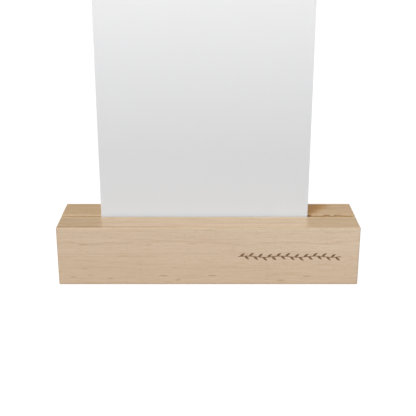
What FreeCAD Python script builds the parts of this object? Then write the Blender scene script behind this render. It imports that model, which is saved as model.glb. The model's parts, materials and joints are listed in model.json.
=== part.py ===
"""Wooden photo block holder: a beech bar with one slot sawn along its top, and the photo card
that stands in the slot and lifts out of it.

Frame: millimetres, +Z up, X along the bar, -Y towards the viewer. The origin is on the surface
that the bar stands on, under the middle of the bar.
"""
import math
import os

import FreeCAD
import Part

# The bar: planed square, cut to length, edges broken with sandpaper
BAR_LENGTH = 150.0
BAR_DEPTH = 35.5
BAR_HEIGHT = 30.6
EDGE_ROUND = 0.55

# The slot: one saw cut through the whole length, open at both ends
SLOT_WIDTH = 2.0
SLOT_DEPTH = 12.0
SLOT_SETBACK = 16.75  # from the bar's front face to the middle of the slot
SLOT_MOUTH_ROUND = 0.4
SLOT_FLOOR_ROUND = 0.3

# The card: a portrait postcard, standing on the slot's floor a little left of the middle
CARD_WIDTH = 105.0
CARD_HEIGHT = 148.0
CARD_THICKNESS = 0.4
CARD_SHIFT = -2.0

CUT_OVERRUN = 1.0  # how far a cutting tool runs past the wood

BAR_FRONT = -BAR_DEPTH / 2
SLOT_CENTRE = BAR_FRONT + SLOT_SETBACK
SLOT_FLOOR = BAR_HEIGHT - SLOT_DEPTH


def point(y, z):
    return FreeCAD.Vector(0, y, z)


def arc(centre_y, centre_z, radius, from_deg, to_deg):
    """An arc in the YZ plane, counted from +Y towards +Z."""
    def at(degrees):
        angle = math.radians(degrees)
        return point(centre_y + radius * math.cos(angle), centre_z + radius * math.sin(angle))
    return Part.Arc(at(from_deg), at((from_deg + to_deg) / 2), at(to_deg)).toShape()


def line(start, end):
    return Part.makeLine(point(*start), point(*end))


def slot_section():
    """Section of the wood that the saw takes away: flat floor with eased corners, upright walls,
    and a mouth that flares out by a quarter round on each side."""
    wall = SLOT_WIDTH / 2
    front, back = SLOT_CENTRE - wall, SLOT_CENTRE + wall
    floor, top, above = SLOT_FLOOR, BAR_HEIGHT, BAR_HEIGHT + CUT_OVERRUN
    low, flare = SLOT_FLOOR_ROUND, SLOT_MOUTH_ROUND
    edges = [
        line((front + low, floor), (back - low, floor)),
        arc(back - low, floor + low, low, 270, 360),
        line((back, floor + low), (back, top - flare)),
        arc(back + flare, top - flare, flare, 180, 90),
        line((back + flare, top), (back + flare, above)),
        line((back + flare, above), (front - flare, above)),
        line((front - flare, above), (front - flare, top)),
        arc(front - flare, top - flare, flare, 90, 0),
        line((front, top - flare), (front, floor + low)),
        arc(front + low, floor + low, low, 180, 270),
    ]
    return Part.Face(Part.Wire(edges))


def wooden_bar():
    """The planed bar with every outer edge rounded, then sawn along the top."""
    corner = FreeCAD.Vector(-BAR_LENGTH / 2, BAR_FRONT, 0)
    blank = Part.makeBox(BAR_LENGTH, BAR_DEPTH, BAR_HEIGHT, corner)
    blank = blank.makeFillet(EDGE_ROUND, blank.Edges)
    saw_start = FreeCAD.Vector(-BAR_LENGTH / 2 - CUT_OVERRUN, 0, 0)
    saw_travel = FreeCAD.Vector(BAR_LENGTH + 2 * CUT_OVERRUN, 0, 0)
    section = slot_section()
    section.translate(saw_start)
    return blank.cut(section.extrude(saw_travel))


def photo_card():
    """The flat card, upright in the middle of the slot, with its lower edge on the slot's floor."""
    corner = FreeCAD.Vector(
        CARD_SHIFT - CARD_WIDTH / 2, SLOT_CENTRE - CARD_THICKNESS / 2, SLOT_FLOOR
    )
    return Part.makeBox(CARD_WIDTH, CARD_THICKNESS, CARD_HEIGHT, corner)


def main():
    os.makedirs("parts", exist_ok=True)
    for name, shape in {"wooden_bar": wooden_bar(), "photo_card": photo_card()}.items():
        solids = shape.Solids
        assert len(solids) == 1 and shape.isValid(), name
        solids[0].exportStep(os.path.join("parts", name + ".step"))
        box = shape.BoundBox
        print(f"{name}: {box.XLength:.2f} x {box.YLength:.2f} x {box.ZLength:.2f} mm,"
              f" {shape.Volume / 1000:.2f} cm3")


main()
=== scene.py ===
"""Wooden photo block holder, dressed for the camera: the beech bar with its sawn slot and a small
engraved sprig, and the paper card that stands in the slot and lifts out of it.

Metres, in the frame's own axes: X along the bar, -Y towards the viewer, +Z up from the table.
The materials count in millimetres.
"""

import json
import math
import random
from contextlib import contextmanager

import bmesh
import bpy
from mathutils import Matrix, Vector


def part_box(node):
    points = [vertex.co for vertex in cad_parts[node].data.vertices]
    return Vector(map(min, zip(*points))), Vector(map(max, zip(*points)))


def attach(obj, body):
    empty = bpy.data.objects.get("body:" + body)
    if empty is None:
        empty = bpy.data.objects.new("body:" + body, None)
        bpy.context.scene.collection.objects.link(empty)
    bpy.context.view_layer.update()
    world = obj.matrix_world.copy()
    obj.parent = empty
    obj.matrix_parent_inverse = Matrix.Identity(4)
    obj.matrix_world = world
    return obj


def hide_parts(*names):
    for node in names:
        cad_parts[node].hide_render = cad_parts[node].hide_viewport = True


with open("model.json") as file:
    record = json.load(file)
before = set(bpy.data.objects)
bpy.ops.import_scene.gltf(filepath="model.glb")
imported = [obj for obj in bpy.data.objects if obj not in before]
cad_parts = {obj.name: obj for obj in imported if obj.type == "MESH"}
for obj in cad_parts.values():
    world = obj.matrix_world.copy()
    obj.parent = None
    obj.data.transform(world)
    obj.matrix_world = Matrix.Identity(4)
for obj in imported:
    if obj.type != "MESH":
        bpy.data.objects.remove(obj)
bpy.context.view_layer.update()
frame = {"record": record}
MM = 0.001

# What the frame says
BAR_LOW, BAR_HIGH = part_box("wooden_bar")
CARD_LOW, CARD_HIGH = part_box("photo_card")
BAR_LENGTH = BAR_HIGH.x - BAR_LOW.x
BAR_TOP = BAR_HIGH.z
BAR_FRONT = BAR_LOW.y
SLOT = next(mount for mount in frame["record"]["mounts"] if mount["name"] == "photo_slot")
SLOT_CENTRE = SLOT["pos_m"][1]
SLOT_FLOOR = SLOT["pos_m"][2]

# The bar's edges and its slot, as the maker sands and saws them
EDGE_ROUND = 0.55 * MM
EDGE_STEPS = 5
SLOT_WIDTH = 2.0 * MM
SLOT_MOUTH_ROUND = 0.4 * MM
SLOT_FLOOR_ROUND = 0.3 * MM
SLOT_FLOOR_STEPS = 4
CUT_OVERRUN = 1.0 * MM
SHARP_FROM = math.radians(35)

# How near to a height an edge counts as lying at it, and from which cosine on two directions
# count as parallel
NEAR_ENOUGH = 0.01 * MM
PARALLEL = 0.9

# After the cuts: edges shorter than a sliver go, and the corners, edges and faces are numbered by
# their distance from a point to one side of the bar
SLIVER = 0.001 * MM
ORDER_POINT = (-211.3 * MM, -97.7 * MM, 53.9 * MM)

# Where the saw tore the slot's rear lip, right of the card, and its largest splinters:
# place along the bar, length and size of each
TORN_FROM = 50.0 * MM
TORN_TO = 74.0 * MM
LARGE_CHIPS = [(51.6 * MM, 2.6 * MM, 0.95 * MM), (60.8 * MM, 3.0 * MM, 0.80 * MM),
               (66.3 * MM, 3.8 * MM, 0.85 * MM)]

# The other chips fall by chance. Their lengths and sizes are in millimetres. A torn chip keeps to
# the middle of its own stretch of the lip, and a small one to this share of the bar's length.
TORN_CHIPS = 16
TORN_LENGTHS = (2.0, 4.5)
TORN_SIZES = (0.20, 0.42)
TORN_STRETCH = (0.2, 0.8)
SMALL_CHIPS = 30
SMALL_LENGTHS = (0.8, 2.6)
SMALL_SIZES = (0.12, 0.25)
SMALL_STRETCH = (-0.48, 0.48)
CHIP_SEED = 5
CHIP_RAGGEDNESS = 0.30

# The engraved sprig on the front face, towards the right
SPRIG_START = 14.9 * MM
SPRIG_END = 66.0 * MM
SPRIG_HEIGHT = 15.2 * MM
SPRIG_WAVE = 0.35 * MM
SPRIG_WAVES = 3
ENGRAVED_DEPTH = 0.2 * MM
STEM_WIDTH = 0.42 * MM
STEM_STEPS = 24

# Its leaves stand at even spaces, the first one a share of a space from the stem's start, and the
# stem is a number of spaces long. The handles that bend a leaf's outline stand out by a share of
# its width, and reach along it from its foot and back from its tip by shares of its length.
SPRIG_LEAVES = 22
FIRST_LEAF = 0.4
LEAF_SPACES = SPRIG_LEAVES + 0.6
LEAF_LENGTH = 3.0 * MM
LEAF_WIDTH = 0.95 * MM
LEAF_LEAN = math.radians(38)
LEAF_STEPS = 8
LEAF_FULLNESS = 0.75
LEAF_HANDLES = (0.25, -0.45)

# The card's edges, very slightly crushed by the guillotine
CARD_CRUSH = 0.08 * MM
CARD_CRUSH_STEPS = 2

# The beech: the heart of the tree lies behind and below the bar, so the rings cross the bar on a
# slant. A ring's dark line fades in and out again at these shares of its year.
HEART_Y = 105.0
HEART_Z = -62.0
HEART_DISTANCE = 145.0
RING_WIDTH = 3.4
RING_UNEVENNESS = 1.2
RING_CELLS = (0.03, 0.3)
LATE_SEASON = (0.72, 0.95)
SEASON_END = (1.0, 0.96)
FAINTEST_RING = 0.15
GRAIN_SWAY = 3.0

# The patterns of the grain: cells per millimetre along, across and up the bar, then how many
# finer patterns lie in each and how strong those are. Each has the same middle level.
PATTERN_MIDDLE = 0.5
SWAY = ((0.013, 0.02, 0.02), 2.0, 0.5)
STREAKS = ((0.042, 0.34, 1.9), 3.0, 0.66)
FIBRES = ((0.11, 3.6, 3.6), 3.0, 0.6)
CLOUDS = ((0.018, 0.07, 0.07), 2.0, 0.5)
RIPPLES = ((0.22, 0.9, 2.1), 2.0, 0.5)
GRAIN_LINES = ((0.02, 0.50, 0.50), 1.0, 0.5)
UNEVEN_YEARS = (2.0, 0.5)

# The slim marks, at most one in each cell: the cell's size each way, how near its middle the mark
# fades in, and how the cells' chances make it faint or full
LONG_STREAKS = ((30.0, 2.4, 2.4), (0.20, 0.05), (0.70, 1.0))
RAY_FLECKS = ((8.0, 0.95, 26.0), (0.22, 0.06), (0.45, 0.95))
RAY_DASHES = ((3.2, 0.70, 12.0), (0.30, 0.08), (0.12, 0.7))
DASH_SHIFT = 40.0
FAINTEST_FLECK = 0.35

# Its colours: two grounds, the sides' one paler and cooler than the top's by painted light, then
# the tints that the grain lays over them, among them painted light and shade
TOP_GRAIN = (0.624, 0.447, 0.270, 1)
PAINTED_LIGHT_SIDE_GROUND = (0.643, 0.495, 0.353, 1)
# Painted shade: the left half of the bar a little darker
PAINTED_SHADE_LEFT_HALF = (0.948, 0.935, 0.912, 1)
LATE_WOOD = (0.92, 0.89, 0.84, 1)
# Painted shade: the lower part of the bar a little darker
PAINTED_SHADE_LOW_PART = (0.965, 0.945, 0.915, 1)
DARK_STREAK = (0.92, 0.895, 0.86, 1)
PALE_STREAK = (1.03, 1.04, 1.055, 1)
DARK_RIPPLE = (0.97, 0.94, 0.91, 1)
PALE_RIPPLE = (1.015, 1.025, 1.035, 1)
DARK_LINE = (0.945, 0.93, 0.91, 1)
PALE_LINE = (1.025, 1.035, 1.05, 1)
DARK_FIBRE = (0.95, 0.93, 0.90, 1)
CLOUD = (0.98, 0.97, 0.96, 1)
FINE_DASH = (0.86, 0.82, 0.76, 1)
LONG_STREAK = (0.90, 0.86, 0.80, 1)
DARK_FLECK = (0.80, 0.73, 0.64, 1)
END_GRAIN = (0.84, 0.80, 0.76, 1)
# The slot's walls: the saw's rougher wood, darker and warmer below the top by painted shade
SAWN_WALL_AND_SHADE = (1.00, 0.92, 0.72, 1)
# The torn lip: torn fibres, darkened below the top by painted shade
TORN_WOOD_AND_SHADE = (0.72, 0.59, 0.38, 1)
# Painted highlight along the slot's lips
PAINTED_LIP_HIGHLIGHT = (1.09, 1.11, 1.14, 1)
# Painted shadow of the card on the top behind the slot, dark and warm
PAINTED_CARD_SHADOW = (0.82, 0.58, 0.20, 1)
WARM_REAR = (1.0, 0.965, 0.905, 1)
# Painted shade on the rounded edges
PAINTED_EDGE_SHADE = (0.920, 0.930, 0.930, 1)
# Painted shade on the rounded rear edge of the top
PAINTED_REAR_EDGE_SHADE = (1.02, 0.93, 0.81, 1)
END_EDGE = (0.90, 0.85, 0.76, 1)
# Painted shade on the strip by the table
PAINTED_TABLE_SHADE = (0.93, 0.89, 0.80, 1)
# Painted light: a pale band along the upper left of the sides
PAINTED_LIGHT_BAND = (1.02, 1.045, 1.065, 1)
# The nick beside the card's foot, darkened by the card's painted shadow
NICK_AND_PAINTED_SHADOW = (0.32, 0.21, 0.11, 1)
SCORCHED = (0.200, 0.108, 0.052, 1)

# Where they lie. Each pair says at what value a tint begins and at what value it is full. These
# are levels of a pattern, which runs from about 0.2 to 0.8.
STREAKS_DARK = (0.46, 0.72)
STREAKS_PALE = (0.50, 0.28)
FIBRES_DARK = (0.45, 0.80)
CLOUDS_DARK = (0.35, 0.65)
RIPPLES_DARK = (0.52, 0.66)
RIPPLES_PALE = (0.48, 0.34)
LINES_DARK = (0.50, 0.62)
LINES_PALE = (0.50, 0.38)

# These are how far a face is turned to an axis, and how far an edge is turned away from all three
FACING = (0.6, 0.95)
TURNED_AWAY = (0.99, 0.90)

# These are millimetres along the bar and across it, from its middle, and above the table
LEFT_HALF = (75.0, -75.0)
LOW_PART = (20.0, 6.0)
BY_THE_ENDS = (74.2, 74.6)
BY_THE_REAR = (15.0, 17.0)
BY_THE_TOP = (29.0, 30.0)
BY_THE_TABLE = (1.5, 0.6)
BAND_ALONG = (-50.0, -10.0)
BAND_HEIGHT = (26.5, 29.5)
CARD_SHADOW_LEFT = (36.0, 50.0)
CARD_SHADOW_RIGHT = (56.4, 48.2)
CARD_SHADOW_SLANT = 0.7
CARD_SHADOW_REAR = (17.2, 14.8)
REAR_HALF = (0.5, 1.5)
UPPER_PART = (25.0, 29.0)
NICK_LEFT = (49.8, 50.4)
NICK_RIGHT = (52.9, 51.7)
TORN_LEFT = (TORN_FROM / MM - 0.5, TORN_FROM / MM)
TORN_RIGHT = (75.0, 73.0)

# These are millimetres from the middle of the slot, below the bar's top and above the slot's floor
WALLS_ASIDE = (2.6, 1.3)
WALLS_BELOW = (0.05, 0.45)
WALLS_ABOVE = (-0.5, -0.1)
TEAR_ASIDE = (3.0, 1.6)
TEAR_BELOW = (0.20, 0.70)
LIP_INNER = (1.2, 1.5)
LIP_OUTER = (3.4, 2.4)
LIP_BELOW = (0.4, 0.1)

# And these are millimetres behind the front face, above and below the sprig's middle, and along
# the bar, a little past the stem's start and end
BURNT_FROM = (0.02, 0.12)
BURNT_TO = (1.0, 0.9)
SPRIG_ABOVE = (4.1, 4.0)
SPRIG_LEFT = (SPRIG_START / MM - 3.1, SPRIG_START / MM - 3.0)
SPRIG_RIGHT = (SPRIG_END / MM + 5.1, SPRIG_END / MM + 5.0)

# The marks that stand out on the front face: place along the bar, height above the table,
# length, thickness and strength of each
FRONT_MARKS = [
    (-62.1, 21.7, 6.0, 0.9, 1.5), (-58.0, 21.5, 19.0, 0.8, 0.8), (-29.5, 21.8, 5.0, 0.9, 0.6),
    (-8.5, 22.2, 9.0, 0.8, 0.6), (-67.8, 4.2, 3.6, 1.0, 1.0), (-62.0, 8.7, 5.0, 1.0, 0.6),
    (-59.0, 5.0, 4.2, 0.9, 0.7), (-49.0, 3.3, 4.2, 1.0, 1.0), (-22.3, 4.9, 5.4, 1.1, 1.2),
    (-15.0, 2.7, 3.8, 1.0, 1.1), (1.9, 4.9, 5.4, 1.1, 1.2), (36.2, 2.3, 5.2, 1.0, 1.0),
    (49.5, 4.6, 5.2, 1.0, 0.9), (-40.0, 15.3, 70.0, 0.6, 0.35), (20.0, 9.0, 40.0, 0.6, 0.3),
]
# They go this deep behind the front face, and stop below its upper edge
FRONT_MARKS_DEEP = (5.0, 1.0)
FRONT_MARKS_HIGH = (29.6, 29.4)

# The dark lines on the top: place along the bar, place across it, length, thickness and strength
# of each, and how deep below the top they go
TOP_LINES = [(-50.0, -16.2, 95.0, 1.5, 1.2), (-38.0, -9.6, 60.0, 1.1, 0.9)]
TOP_LINES_DEEP = (3.0, 1.0)

# The finish: sanded, then thinly oiled. The reliefs say how far the streaks and fibres stand out,
# and how far the flecks and dashes sink in.
SANDED_ROUGHNESS = 0.34
FIBRE_ROUGHNESS = 0.12
END_ROUGHNESS = 0.3
BURNT_ROUGHNESS = 0.4
WOOD_SHINE = 0.5
OIL = 0.85
OIL_ROUGHNESS = 0.25
STREAK_RELIEF = 0.3
FIBRE_RELIEF = 0.5
FLECK_RELIEF = 0.4
DASH_RELIEF = 0.2
WOOD_RELIEF = 0.04 * MM
WOOD_RELIEF_STRENGTH = 0.25

# The card's painted light, from its foot to its head: the face lightens from the start upwards,
# slowly at first
CARD_FOOT = (0.694, 0.698, 0.708, 1)
CARD_HEAD = (0.922, 0.922, 0.930, 1)
CARD_BACK = (0.850, 0.842, 0.822, 1)
PAINTED_LIGHT_START = 62.0
PAINTED_LIGHT_CURVE = 1.2
FACING_BACK = (0.2, 0.8)

# Two cool tints at the card's foot, which even out the wood's warm light on it and the slot's
# shade. The first one ends at a height above the table and grows over a height below that.
BY_THE_WOOD = (1.018, 1.075, 1.13, 1)
BY_THE_WOOD_END = 62.0
BY_THE_WOOD_GROWS = 34.0
AT_THE_SLOT = (1.035, 1.045, 1.050, 1)
ABOVE_THE_SLOT = (8.0, -1.0)

# The card's surface: a matt sheet with a fine tooth
TOOTH = ((3.0, 3.0, 3.0), 3.0, 0.5)
CARD_ROUGHNESS = 0.6
TOOTH_ROUGHNESS = 0.1
CARD_SHINE = 0.3
CARD_RELIEF = 0.02 * MM
CARD_RELIEF_STRENGTH = 0.15

# The camera
CAMERA_PLACE = (-0.00014, -0.4021, 0.1805)
CAMERA_TILT = math.radians(19.95)
CAMERA_LENS = 72.66
CAMERA_SENSOR = 36

# The floor: grey paint that takes the shadow, under a white glow for the camera and for mirrors
FLOOR_SIZE = 12.0
FLOOR_DROP = 0.02 * MM
FLOOR_PAINT = 0.5
FLOOR_GLOW = 1.2
FLOOR_GLOW_SHARE = 0.8

# The room: white at the horizon, dim above it, light overhead. The pairs are heights of a
# direction, 0 at the horizon and 1 straight up.
DIM_WALL = 0.15
OVERHEAD = 0.68
WALL_HEIGHT = (0.06, 0.22)
OVERHEAD_HEIGHT = (0.45, 0.75)

# The lamps: name, place, width, height, power, and whether the lamp shows in the coat of oil
LAMPS_AIM = (0, 0, 0.05)
SOFTBOXES = [
    ("key_softbox", (-1.00, -2.50, 2.55), 2.0, 2.0, 101.5, True),
    ("rear_left_softbox", (-2.20, 2.20, 0.35), 1.8, 0.6, 28.0, False),
    ("rear_right_softbox", (2.20, 2.20, 0.35), 1.8, 0.6, 28.0, False),
]


# ---------------------------------------------------------------- shader maths

class Socket:
    """An output of a shader node that can stand in a sum: each operator adds its Math node."""

    def __init__(self, shader, output):
        self.shader = shader
        self.output = output

    def math(self, operation, *values):
        inputs = dict(enumerate(values))
        return self.shader.node("ShaderNodeMath", {"operation": operation}, inputs)

    def __add__(self, other):
        return self.math("ADD", self, other)

    def __sub__(self, other):
        return self.math("SUBTRACT", self, other)

    def __mul__(self, other):
        return self.math("MULTIPLY", self, other)

    def __truediv__(self, other):
        return self.math("DIVIDE", self, other)

    def __pow__(self, other):
        return self.math("POWER", self, other)

    def __abs__(self):
        return self.math("ABSOLUTE", self)

    def __rsub__(self, other):
        return self.math("SUBTRACT", other, self)

    __radd__ = __add__
    __rmul__ = __mul__

    def at_least(self, other):
        return self.math("MAXIMUM", self, other)

    def at_most(self, other):
        return self.math("MINIMUM", self, other)


class Shader:
    """The nodes of one material or of the world."""

    def __init__(self, owner):
        owner.use_nodes = True
        self.tree = owner.node_tree
        self.tree.nodes.clear()

    def node(self, kind, settings=None, inputs=None, output=0):
        """Adds a node: its settings first, then the values or links of its sockets."""
        made = self.tree.nodes.new(kind)
        for name, value in (settings or {}).items():
            setattr(made, name, value)
        for key, value in (inputs or {}).items():
            if isinstance(value, Socket):
                self.tree.links.new(value.output, made.inputs[key])
            else:
                made.inputs[key].default_value = value
        return Socket(self, made.outputs[output])

    def object_point(self):
        """Place on the piece in millimetres, as a vector and as its three numbers."""
        place = self.node("ShaderNodeTexCoord", output="Object")
        scaled = self.vector("SCALE", place, Scale=1 / MM)
        return scaled, *self.parts(scaled)

    def normal(self):
        """The direction that the face points in, as its three numbers."""
        return self.parts(self.node("ShaderNodeTexCoord", output="Normal"))

    def parts(self, vector):
        made = self.tree.nodes.new("ShaderNodeSeparateXYZ")
        self.tree.links.new(vector.output, made.inputs[0])
        return [Socket(self, output) for output in made.outputs]

    def join(self, x, y, z):
        return self.node("ShaderNodeCombineXYZ", inputs={0: x, 1: y, 2: z})

    def vector(self, operation, first, second=None, **named):
        inputs = {0: first}
        if second is not None:
            inputs[1] = second
        inputs.update(named)
        return self.node("ShaderNodeVectorMath", {"operation": operation}, inputs)

    def between(self, value, low, high):
        """0 below low, 1 above high, smooth in between; high may be the smaller one."""
        settings = {"interpolation_type": "SMOOTHSTEP"}
        inputs = {"Value": value, "From Min": low, "From Max": high}
        return self.node("ShaderNodeMapRange", settings, inputs)

    def noise(self, vector, detail, roughness):
        inputs = {"Vector": vector, "Scale": 1.0, "Detail": detail, "Roughness": roughness}
        return self.node("ShaderNodeTexNoise", inputs=inputs)

    def pattern(self, point, cells, detail, roughness):
        """Noise whose cells are counted per millimetre, with a number of its own for each axis."""
        return self.noise(self.vector("MULTIPLY", point, cells), detail, roughness)

    def mix(self, factor, first, second, blend="MIX"):
        """Mixes two colours."""
        settings = {"data_type": "RGBA", "blend_type": blend}
        return self.node("ShaderNodeMix", settings, {0: factor, 6: first, 7: second}, output=2)

    def shade(self, colour, *layers):
        """Multiplies the colour by each layer's tint where the layer's mask is 1."""
        for mask, tint in layers:
            colour = self.mix(mask, colour, tint, "MULTIPLY")
        return colour

    def relief(self, height, strength, distance):
        inputs = {"Strength": strength, "Distance": distance, "Height": height}
        return self.node("ShaderNodeBump", inputs=inputs)

    def surface(self, shader_socket):
        self.end("ShaderNodeOutputMaterial", shader_socket)

    def end(self, kind, shader_socket):
        made = self.tree.nodes.new(kind)
        self.tree.links.new(shader_socket.output, made.inputs["Surface"])


def material(name):
    made = bpy.data.materials.new(name)
    return made, Shader(made)


def grey(level):
    return (level, level, level, 1.0)


# ---------------------------------------------------------------- modelling helpers

def alone(piece):
    """Makes one piece the only selected and active one."""
    bpy.ops.object.select_all(action="DESELECT")
    piece.select_set(True)
    bpy.context.view_layer.objects.active = piece


@contextmanager
def editing(piece):
    """Edit mode on one piece, with nothing of it selected at first."""
    alone(piece)
    bpy.ops.object.mode_set(mode="EDIT")
    bpy.ops.mesh.select_all(action="DESELECT")
    yield
    bpy.ops.object.mode_set(mode="OBJECT")


def pick(piece, kind, test):
    """Selects the verts, edges or faces whose middle passes the test, and nothing else."""
    mesh = bmesh.from_edit_mesh(piece.data)
    for element in (*mesh.verts, *mesh.edges, *mesh.faces):
        element.select = False
    for element in getattr(mesh, kind):
        corners = [element] if kind == "verts" else element.verts
        middle = sum((corner.co for corner in corners), Vector()) / len(corners)
        if test(middle, element):
            element.select_set(True)
    bmesh.update_edit_mesh(piece.data)


def apply_place(piece):
    """Leaves the object at the origin, unturned and unscaled, with its place in its mesh."""
    alone(piece)
    bpy.ops.object.transform_apply(location=True, rotation=True, scale=True)
    return piece


def block(name, low, high):
    """A cube primitive, stretched between two corners."""
    low, high = Vector(low), Vector(high)
    bpy.ops.mesh.primitive_cube_add(size=1, location=(low + high) / 2)
    piece = bpy.context.active_object
    piece.name = name
    piece.scale = high - low
    return apply_place(piece)


def round_all_edges(piece, size, steps):
    with editing(piece):
        bpy.ops.mesh.select_all(action="SELECT")
        bpy.ops.mesh.bevel(offset=size, segments=steps, affect="EDGES")


def join(name, pieces):
    """Several objects as one."""
    alone(pieces[0])
    for piece in pieces[1:]:
        piece.select_set(True)
    bpy.ops.object.join()
    pieces[0].name = name
    return pieces[0]


def modify(piece, kind, **settings):
    """Adds a modifier and applies it."""
    alone(piece)
    bpy.ops.object.modifier_add(type=kind)
    for name, value in settings.items():
        setattr(piece.modifiers[-1], name, value)
    bpy.ops.object.modifier_apply(modifier=piece.modifiers[-1].name)


def cut(piece, cutter):
    """Takes the cutter's shape out of the piece, and the cutter away."""
    modify(piece, "BOOLEAN", operation="DIFFERENCE", solver="EXACT", object=cutter, use_self=True)
    bpy.data.objects.remove(cutter)
    put_in_order(piece)


def put_in_order(piece):
    """Numbers the piece's corners, edges and faces by their distance from one point, because a cut
    leaves them in a new order each time. Then the cursor goes back to the origin, where curves
    are added."""
    bpy.context.scene.cursor.location = ORDER_POINT
    with editing(piece):
        bpy.ops.mesh.select_all(action="SELECT")
        bpy.ops.mesh.sort_elements(type="CURSOR_DISTANCE", elements={"VERT", "EDGE", "FACE"})
    bpy.context.scene.cursor.location = (0, 0, 0)


def finish_shading(piece):
    """Round edges smooth, flat faces flat."""
    alone(piece)
    bpy.ops.object.shade_smooth_by_angle(angle=SHARP_FROM)
    modify(piece, "WEIGHTED_NORMAL", keep_sharp=True)


# ---------------------------------------------------------------- the bar

def slot_cutter():
    """The saw's path: rounded along its lower edges, and flared at the mouth in quarter rounds."""
    half = SLOT_WIDTH / 2
    reach = BAR_LENGTH / 2 + CUT_OVERRUN
    straight_top = BAR_TOP - SLOT_MOUTH_ROUND
    path = block("slot_cutter", (-reach, SLOT_CENTRE - half, SLOT_FLOOR),
                 (reach, SLOT_CENTRE + half, straight_top))
    along = Vector((1, 0, 0))

    def is_floor_edge(middle, edge):
        lies_low = abs(middle.z - SLOT_FLOOR) < NEAR_ENOUGH
        direction = (edge.verts[1].co - edge.verts[0].co).normalized()
        return lies_low and abs(direction.dot(along)) > PARALLEL

    with editing(path):
        pick(path, "edges", is_floor_edge)
        bpy.ops.mesh.bevel(offset=SLOT_FLOOR_ROUND, segments=SLOT_FLOOR_STEPS, affect="EDGES")
        pick(path, "faces", lambda middle, face: face.normal.z > PARALLEL)
        width, height = half, 0.0
        for step in range(1, EDGE_STEPS + 1):
            turn = math.radians(90) * step / EDGE_STEPS
            next_height = SLOT_MOUTH_ROUND * math.sin(turn)
            next_width = half + SLOT_MOUTH_ROUND * (1 - math.cos(turn))
            raise_face(next_height - height, next_width / width)
            width, height = next_width, next_height
        raise_face(CUT_OVERRUN, 1.0)
    return path


def raise_face(rise, widen):
    """Extrudes the picked top face of the slot's cutter and widens it across the bar."""
    bpy.ops.mesh.extrude_region_move(TRANSFORM_OT_translate={"value": (0, 0, rise)})
    centre = (0, SLOT_CENTRE, BAR_TOP)
    bpy.ops.transform.resize(value=(1, widen, 1), center_override=centre)


def splinter(place, length, size, seed):
    """A long thin ragged chip: a ball with its corners pushed about, stretched along the grain."""
    bpy.ops.mesh.primitive_ico_sphere_add(subdivisions=2, radius=1, location=place)
    chip = bpy.context.active_object
    with editing(chip):
        bpy.ops.mesh.select_all(action="SELECT")
        bpy.ops.transform.vertex_random(offset=CHIP_RAGGEDNESS, seed=seed)
    chip.scale = (length / 2, size, size)
    return apply_place(chip)


def lip_chips():
    """Small tear-outs along both lips of the slot, a ragged run of them at the rear right, and
    the large ones there."""
    dice = random.Random(CHIP_SEED)
    front_lip = SLOT_CENTRE - SLOT_WIDTH / 2 - SLOT_MOUTH_ROUND / 2
    rear_lip = SLOT_CENTRE + SLOT_WIDTH / 2 + SLOT_MOUTH_ROUND / 2
    chips = [splinter((x, rear_lip, BAR_TOP - size / 2), length, size, seed)
             for seed, (x, length, size) in enumerate(LARGE_CHIPS)]
    for number in range(TORN_CHIPS):
        share = (number + dice.uniform(*TORN_STRETCH)) / TORN_CHIPS
        x = TORN_FROM + share * (TORN_TO - TORN_FROM)
        size = dice.uniform(*TORN_SIZES) * MM
        length = dice.uniform(*TORN_LENGTHS) * MM
        chips.append(splinter((x, rear_lip, BAR_TOP - size / 2), length, size, len(chips)))
    for number in range(SMALL_CHIPS):
        x = dice.uniform(*SMALL_STRETCH) * BAR_LENGTH
        lip = dice.choice((front_lip, rear_lip))
        size = dice.uniform(*SMALL_SIZES) * MM
        length = dice.uniform(*SMALL_LENGTHS) * MM
        chips.append(splinter((x, lip, BAR_TOP), length, size, len(chips)))
    return join("lip_chips", chips)


def leaf_cutter(place, lean):
    """A pointed leaf outline, filled and pushed into the front face."""
    bpy.ops.curve.primitive_bezier_curve_add()
    leaf = bpy.context.active_object
    outline = leaf.data.splines[0]
    outline.use_cyclic_u = True
    leaf.data.dimensions = "2D"
    leaf.data.fill_mode = "BOTH"
    leaf.data.resolution_u = LEAF_STEPS
    leaf.data.extrude = ENGRAVED_DEPTH
    bulge = LEAF_WIDTH * LEAF_FULLNESS
    for point, along, reach, turn in zip(outline.bezier_points, (0, 1), LEAF_HANDLES, (1, -1)):
        point.handle_left_type = "FREE"
        point.handle_right_type = "FREE"
        point.co = (along * LEAF_LENGTH, 0, 0)
        inward = LEAF_LENGTH * reach
        point.handle_right = point.co + Vector((inward, bulge * turn, 0))
        point.handle_left = point.co + Vector((inward, -bulge * turn, 0))
    alone(leaf)
    bpy.ops.object.convert(target="MESH")
    stand_up = Matrix.Rotation(math.radians(90), 4, "X")
    turn_leaf = Matrix.Rotation(lean, 4, "Z")
    leaf.data.transform(Matrix.Translation(place) @ stand_up @ turn_leaf)
    return leaf


def stem_cutter():
    """The sprig's stem: a fine tube along a gentle wave, half in the front face."""
    bpy.ops.curve.primitive_nurbs_path_add()
    stem = bpy.context.active_object
    spline = stem.data.splines[0]
    spline.points.add(STEM_STEPS + 1 - len(spline.points))
    for number, point in enumerate(spline.points):
        point.co = (*stem_point(number / STEM_STEPS), 1)
    spline.order_u = 3
    spline.use_endpoint_u = True
    stem.data.bevel_depth = STEM_WIDTH / 2
    stem.data.bevel_resolution = 2
    stem.data.use_fill_caps = True
    alone(stem)
    bpy.ops.object.convert(target="MESH")
    return stem


def stem_point(share):
    """A point of the stem, from 0 at its start to 1 at its end."""
    x = SPRIG_START + share * (SPRIG_END - SPRIG_START)
    z = SPRIG_HEIGHT + SPRIG_WAVE * math.sin(share * math.tau * SPRIG_WAVES)
    return x, BAR_FRONT, z


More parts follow.
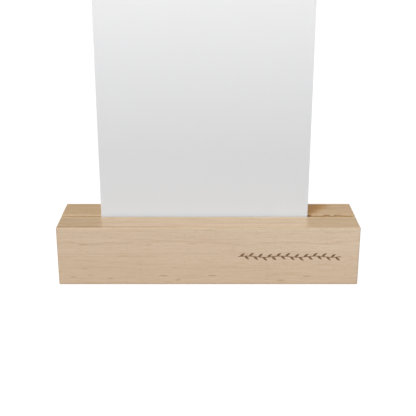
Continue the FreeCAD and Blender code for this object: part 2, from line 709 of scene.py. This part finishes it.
def sprig_cutter():
    """The stem, with leaves on both sides in turn."""
    parts = [stem_cutter()]
    for number in range(SPRIG_LEAVES):
        share = (number + FIRST_LEAF) / LEAF_SPACES
        side = 1 if number % 2 == 0 else -1
        parts.append(leaf_cutter(stem_point(share), side * LEAF_LEAN))
    return join("sprig_cutter", parts)


def sawn_bar():
    """The planed and sanded blank, sawn along the top, with its engraving."""
    bar = block("sawn_beech_bar", BAR_LOW, BAR_HIGH)
    round_all_edges(bar, EDGE_ROUND, EDGE_STEPS)
    cut(bar, slot_cutter())
    cut(bar, lip_chips())
    cut(bar, sprig_cutter())
    with editing(bar):
        bpy.ops.mesh.select_all(action="SELECT")
        bpy.ops.mesh.dissolve_degenerate(threshold=SLIVER)
    finish_shading(bar)
    return bar


# ---------------------------------------------------------------- the card

def paper_card():
    """The card, cut to size on a guillotine."""
    card = block("paper_card", CARD_LOW, CARD_HIGH)
    round_all_edges(card, CARD_CRUSH, CARD_CRUSH_STEPS)
    finish_shading(card)
    return card


# ---------------------------------------------------------------- materials

def beech():
    """Light steamed beech, the same through the whole bar: growth rings round a heart that lies
    behind and below, long fibres, and the short dark flecks and fine dashes of its rays. Over it
    lies painted light and shade: a paler ground on the sides, darker left and lower parts, shaded
    edges, slot walls and torn lip, a pale band, highlights along the lips, and the card's shadow
    beside its foot and behind the slot."""
    made, wood = material("sanded_beech")
    point, x, y, z = wood.object_point()
    swaying = swayed(wood, point)
    streaks = wood.pattern(swaying, *STREAKS)
    fibres = wood.pattern(swaying, *FIBRES)
    low = wood.between(z, *LOW_PART)
    late_wood, flecks, dashes = rings_and_rays(wood, swaying, low)

    end_grain, side_grain = faces(wood)
    edges = rounded_edges(wood)
    in_slot, lip, torn, nick = sawn_walls(wood, end_grain, x, y, z)
    patch, rear = card_shadow_and_rear(wood, x, y, z)
    burnt = scorched(wood, x, y, z)

    # Painted light: the sides get a paler, cooler ground than the top. The tints after it hold
    # painted light and shade as well as the grain.
    colour = wood.mix(side_grain, TOP_GRAIN, PAINTED_LIGHT_SIDE_GROUND)
    colour = wood.shade(
        colour, (late_wood, LATE_WOOD), (low, PAINTED_SHADE_LOW_PART), (wood.between(x, *LEFT_HALF), PAINTED_SHADE_LEFT_HALF),
        *long_grain(wood, swaying, streaks, fibres, 1 - side_grain), (dashes, FINE_DASH),
        (flecks, DARK_FLECK), (strong_marks(wood, x, y, z), DARK_FLECK), (end_grain, END_GRAIN),
        *edge_tints(wood, edges, side_grain, x, y, z), (in_slot, SAWN_WALL_AND_SHADE), (lip, PAINTED_LIP_HIGHLIGHT),
        (torn, TORN_WOOD_AND_SHADE), (nick, NICK_AND_PAINTED_SHADOW), (patch, PAINTED_CARD_SHADOW), (rear, WARM_REAR))
    colour = wood.mix(burnt, colour, SCORCHED)

    raised = streaks * STREAK_RELIEF + fibres * FIBRE_RELIEF
    raised = raised - flecks * FLECK_RELIEF - dashes * DASH_RELIEF
    roughness = SANDED_ROUGHNESS + fibres * FIBRE_ROUGHNESS + end_grain * END_ROUGHNESS
    oiled = (1 - burnt) * (1 - edges) * (1 - in_slot)
    wood.surface(wood.node("ShaderNodeBsdfPrincipled", inputs={
        "Base Color": colour, "Roughness": roughness + burnt * BURNT_ROUGHNESS,
        "Normal": wood.relief(raised, WOOD_RELIEF_STRENGTH, WOOD_RELIEF),
        "Specular IOR Level": WOOD_SHINE,
        "Coat Weight": oiled * OIL, "Coat Roughness": OIL_ROUGHNESS}))
    return made


def swayed(wood, point):
    """The grain's own place: the fibres wander a little across the bar as they run along it."""
    wander = wood.pattern(point, *SWAY) - PATTERN_MIDDLE
    shift = wander * GRAIN_SWAY
    return wood.vector("ADD", point, wood.join(0.0, shift, shift))


def rings_and_rays(wood, swaying, low):
    """Three masks: the dark lines of the growth rings, and the flecks and dashes of the rays,
    which run outwards from the heart. The flecks are strongest low down on the bar."""
    x_along, y_across, z_up = wood.parts(swaying)
    across = y_across - HEART_Y
    up = z_up - HEART_Z
    squares = across * across + up * up
    from_heart = squares.math("SQRT", squares)
    round_heart = up.math("ARCTAN2", up, across) * HEART_DISTANCE
    flecks = spindles(wood, wood.join(x_along, round_heart, from_heart), *RAY_FLECKS)
    dashes = spindles(wood, wood.join(x_along + DASH_SHIFT, round_heart, from_heart), *RAY_DASHES)
    flecks = flecks * (FAINTEST_FLECK + low * (1 - FAINTEST_FLECK))
    return ring_lines(wood, from_heart, x_along), flecks, dashes


def ring_lines(wood, from_heart, x_along):
    """Thin darker lines of late wood, unevenly spaced and unevenly strong."""
    cells_along, cells_outward = RING_CELLS
    place = wood.join(x_along * cells_along, from_heart * cells_outward, 0.0)
    uneven = (wood.noise(place, *UNEVEN_YEARS) - PATTERN_MIDDLE) * RING_UNEVENNESS
    years = from_heart / RING_WIDTH + uneven
    year = years.math("FLOOR", years)
    season = years.math("FRACT", years)
    chance = wood.node("ShaderNodeTexWhiteNoise", {"noise_dimensions": "1D"}, {"W": year})
    line = wood.between(season, *LATE_SEASON) * wood.between(season, *SEASON_END)
    return line * (FAINTEST_RING + chance * (1 - FAINTEST_RING))


def spindles(wood, place, spacing, edge, strength):
    """Long thin marks at random places. The spacing is one pattern cell's size each way, the edge
    says how far out a mark fades in, and the strength which of the cells have one at all."""
    cell = wood.vector("DIVIDE", place, spacing)
    nearest, chance = [
        wood.node("ShaderNodeTexVoronoi", {"feature": "F1"}, {"Vector": cell, "Scale": 1.0}, output)
        for output in ("Distance", "Color")]
    return wood.between(nearest, *edge) * wood.between(wood.parts(chance)[0], *strength)


def long_grain(wood, swaying, streaks, fibres, on_top):
    """The tints that run along the grain, each after its mask."""
    clouds = wood.pattern(swaying, *CLOUDS)
    ripples = wood.pattern(swaying, *RIPPLES)
    grain_lines = wood.pattern(swaying, *GRAIN_LINES)
    return [
        (wood.between(streaks, *STREAKS_DARK), DARK_STREAK),
        (wood.between(streaks, *STREAKS_PALE), PALE_STREAK),
        (wood.between(fibres, *FIBRES_DARK), DARK_FIBRE),
        (wood.between(clouds, *CLOUDS_DARK), CLOUD),
        (wood.between(ripples, *RIPPLES_DARK), DARK_RIPPLE),
        (wood.between(ripples, *RIPPLES_PALE), PALE_RIPPLE),
        (wood.between(grain_lines, *LINES_DARK) * on_top, DARK_LINE),
        (wood.between(grain_lines, *LINES_PALE) * on_top, PALE_LINE),
        (spindles(wood, swaying, *LONG_STREAKS), LONG_STREAK),
    ]


def strong_marks(wood, x, y, z):
    """The few dark marks that stand out: slim spindles on the front face, long lines on the top."""
    marks = sum(strength * spindle_at(wood, (x - along) / (length / 2), (z - high) / (thick / 2))
                for along, high, length, thick, strength in FRONT_MARKS)
    lines = sum(strength * spindle_at(wood, (x - along) / (length / 2), (y - back) / (thick / 2))
                for along, back, length, thick, strength in TOP_LINES)
    in_front = wood.between(y - BAR_FRONT / MM, *FRONT_MARKS_DEEP)
    in_front = in_front * wood.between(z, *FRONT_MARKS_HIGH)
    on_top = wood.between(BAR_TOP / MM - z, *TOP_LINES_DEEP)
    return marks * in_front + lines * on_top


def spindle_at(wood, along, across):
    """1 in the middle of a spindle whose half axes are 1, 0 outside it."""
    return wood.between(along * along + across * across, 1.0, 0.0)


def faces(wood):
    """Two masks: the bar's sawn ends, and its long upright sides."""
    x, y, _ = wood.normal()
    return wood.between(abs(x), *FACING), wood.between(abs(y), *FACING)


def rounded_edges(wood):
    """A mask of the edges between the flat faces, where the normal points between two axes."""
    x, y, z = wood.normal()
    steepest = abs(x).at_least(abs(y)).at_least(abs(z))
    return wood.between(steepest, *TURNED_AWAY)


def edge_tints(wood, edges, side_grain, x, y, z):
    """The painted shade on the rounded edges, on the top's rear edge and on the strip by the table,
    the end edges' tint, and the painted light of the pale band along the upper left of the sides,
    each after its mask."""
    rear_edge = edges * wood.between(y, *BY_THE_REAR) * wood.between(z, *BY_THE_TOP)
    band = side_grain * wood.between(z, *BAND_HEIGHT) * wood.between(x, *BAND_ALONG)
    return [
        (edges, PAINTED_EDGE_SHADE),
        (edges * wood.between(abs(x), *BY_THE_ENDS), END_EDGE),
        (rear_edge, PAINTED_REAR_EDGE_SHADE),
        (wood.between(z, *BY_THE_TABLE), PAINTED_TABLE_SHADE),
        (band, PAINTED_LIGHT_BAND),
    ]


def sawn_walls(wood, end_grain, x, y, z):
    """Four masks: the slot's walls, rough from the saw and darkened by painted shade, the painted
    highlight along its lips, its torn rear lip right of the card, darkened below the top by painted
    shade, and the nick beside the card's foot, darkened by the card's painted shadow."""
    aside = abs(y - SLOT_CENTRE / MM)
    below = BAR_TOP / MM - z
    above_floor = z - SLOT_FLOOR / MM
    in_slot = wood.between(aside, *WALLS_ASIDE) * wood.between(below, *WALLS_BELOW)
    in_slot = in_slot * (1 - end_grain) * wood.between(above_floor, *WALLS_ABOVE)
    lip = wood.between(aside, *LIP_INNER) * wood.between(aside, *LIP_OUTER)
    lip = lip * wood.between(below, *LIP_BELOW)
    torn = wood.between(x, *TORN_LEFT) * wood.between(x, *TORN_RIGHT)
    torn = torn * wood.between(aside, *TEAR_ASIDE) * wood.between(below, *TEAR_BELOW)
    nick = in_slot * wood.between(x, *NICK_LEFT) * wood.between(x, *NICK_RIGHT)
    return in_slot, lip, torn, nick


def card_shadow_and_rear(wood, x, y, z):
    """Two masks: the card's painted shadow on the top behind the slot, dark and warm by the card's
    right edge and reaching further right towards the rear, and all of the upper wood behind the
    slot."""
    behind = wood.between(y, *REAR_HALF) * wood.between(z, *UPPER_PART)
    along = wood.between(x, *CARD_SHADOW_LEFT) * wood.between(x - y * CARD_SHADOW_SLANT, *CARD_SHADOW_RIGHT)
    return along * behind * wood.between(y, *CARD_SHADOW_REAR), behind


def scorched(wood, x, y, z):
    """Where the engraving goes below the front face, the wood is burnt brown."""
    depth = y - BAR_FRONT / MM
    burnt = wood.between(depth, *BURNT_FROM) * wood.between(depth, *BURNT_TO)
    burnt = burnt * wood.between(abs(z - SPRIG_HEIGHT / MM), *SPRIG_ABOVE)
    return burnt * wood.between(x, *SPRIG_LEFT) * wood.between(x, *SPRIG_RIGHT)


def paper():
    """Matt card, its face grey below and lightening upwards by painted light, and a plain board
    back.
    """
    made, card = material("matt_card")
    point, _, _, z = card.object_point()
    # Painted light: the face's grey lightens from the start upwards
    height = (z - PAINTED_LIGHT_START) / (CARD_HIGH.z / MM - PAINTED_LIGHT_START)
    painted_light = height.at_least(0.0) ** PAINTED_LIGHT_CURVE
    near_wood = ((BY_THE_WOOD_END - z) / BY_THE_WOOD_GROWS).at_least(0.0).at_most(1.0)
    near_slot = card.between(z - BAR_TOP / MM, *ABOVE_THE_SLOT)
    colour = card.mix(painted_light, CARD_FOOT, CARD_HEAD)
    colour = card.shade(colour, (near_wood * near_wood, BY_THE_WOOD), (near_slot, AT_THE_SLOT))
    facing_back = card.between(card.normal()[1], *FACING_BACK)
    colour = card.mix(facing_back, colour, CARD_BACK)
    tooth = card.pattern(point, *TOOTH)
    card.surface(card.node("ShaderNodeBsdfPrincipled", inputs={
        "Base Color": colour, "Roughness": CARD_ROUGHNESS + tooth * TOOTH_ROUGHNESS,
        "Normal": card.relief(tooth, CARD_RELIEF_STRENGTH, CARD_RELIEF),
        "Specular IOR Level": CARD_SHINE}))
    return made


def white_floor():
    """White paper sweep: it shows white to the camera and in reflections, and keeps the shadow."""
    made, floor = material("white_floor")
    seen, mirrored, through = [
        floor.node("ShaderNodeLightPath", output=ray)
        for ray in ("Is Camera Ray", "Is Glossy Ray", "Is Transmission Ray")]
    share = (seen + mirrored + through) * FLOOR_GLOW_SHARE
    paint = floor.node("ShaderNodeBsdfDiffuse", inputs={"Color": grey(FLOOR_PAINT)})
    glow = floor.node("ShaderNodeEmission", inputs={"Color": grey(1.0), "Strength": FLOOR_GLOW})
    floor.surface(floor.node("ShaderNodeMixShader", inputs={0: share, 1: paint, 2: glow}))
    return made


# ---------------------------------------------------------------- the studio

def studio_floor():
    bpy.ops.mesh.primitive_plane_add(size=FLOOR_SIZE, location=(0, 0, -FLOOR_DROP))
    floor = bpy.context.active_object
    floor.name = "studio_floor"
    apply_place(floor)
    floor.data.materials.append(white_floor())


def studio_world():
    """A studio without walls: white at the horizon, dim above it, and a broad soft light
    overhead."""
    world = bpy.data.worlds.new("studio_world")
    bpy.context.scene.world = world
    sky = Shader(world)
    direction = sky.node("ShaderNodeTexCoord", output="Generated")
    height = sky.parts(direction)[2]
    shade = sky.mix(sky.between(height, *WALL_HEIGHT), grey(1.0), grey(DIM_WALL))
    shade = sky.mix(sky.between(height, *OVERHEAD_HEIGHT), shade, grey(OVERHEAD))
    light = sky.node("ShaderNodeBackground", inputs={"Color": shade, "Strength": 1.0})
    sky.end("ShaderNodeOutputWorld", light)


def softbox(name, place, width, height, power, shows):
    """A square lamp that faces the bar. One that doesn't show leaves no gleam on the oil."""
    lamp = bpy.data.lights.new(name, "AREA")
    lamp.shape = "RECTANGLE"
    lamp.size = width
    lamp.size_y = height
    lamp.energy = power
    stand = bpy.data.objects.new(name, lamp)
    stand.location = place
    stand.visible_camera = shows
    stand.visible_glossy = shows
    aim = Vector(LAMPS_AIM) - stand.location
    stand.rotation_euler = aim.to_track_quat("-Z", "Y").to_euler()
    bpy.context.scene.collection.objects.link(stand)


def studio_camera():
    """Looks down on the bar from the front."""
    camera = bpy.data.objects.new("camera", bpy.data.cameras.new("camera"))
    camera.data.lens = CAMERA_LENS
    camera.data.sensor_width = CAMERA_SENSOR
    camera.location = CAMERA_PLACE
    camera.rotation_euler = (math.radians(90) - CAMERA_TILT, 0, 0)
    bpy.context.scene.collection.objects.link(camera)
    bpy.context.scene.camera = camera


def set_up_studio():
    studio_camera()
    studio_floor()
    studio_world()
    for lamp in SOFTBOXES:
        softbox(*lamp)
    bpy.context.scene.view_settings.view_transform = "Standard"


def dress():
    bar = sawn_bar()
    bar.data.materials.clear()
    bar.data.materials.append(beech())
    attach(bar, "bar")
    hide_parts("wooden_bar")

    card = paper_card()
    card.data.materials.clear()
    card.data.materials.append(paper())
    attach(card, "card")
    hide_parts("photo_card")


set_up_studio()
dress()
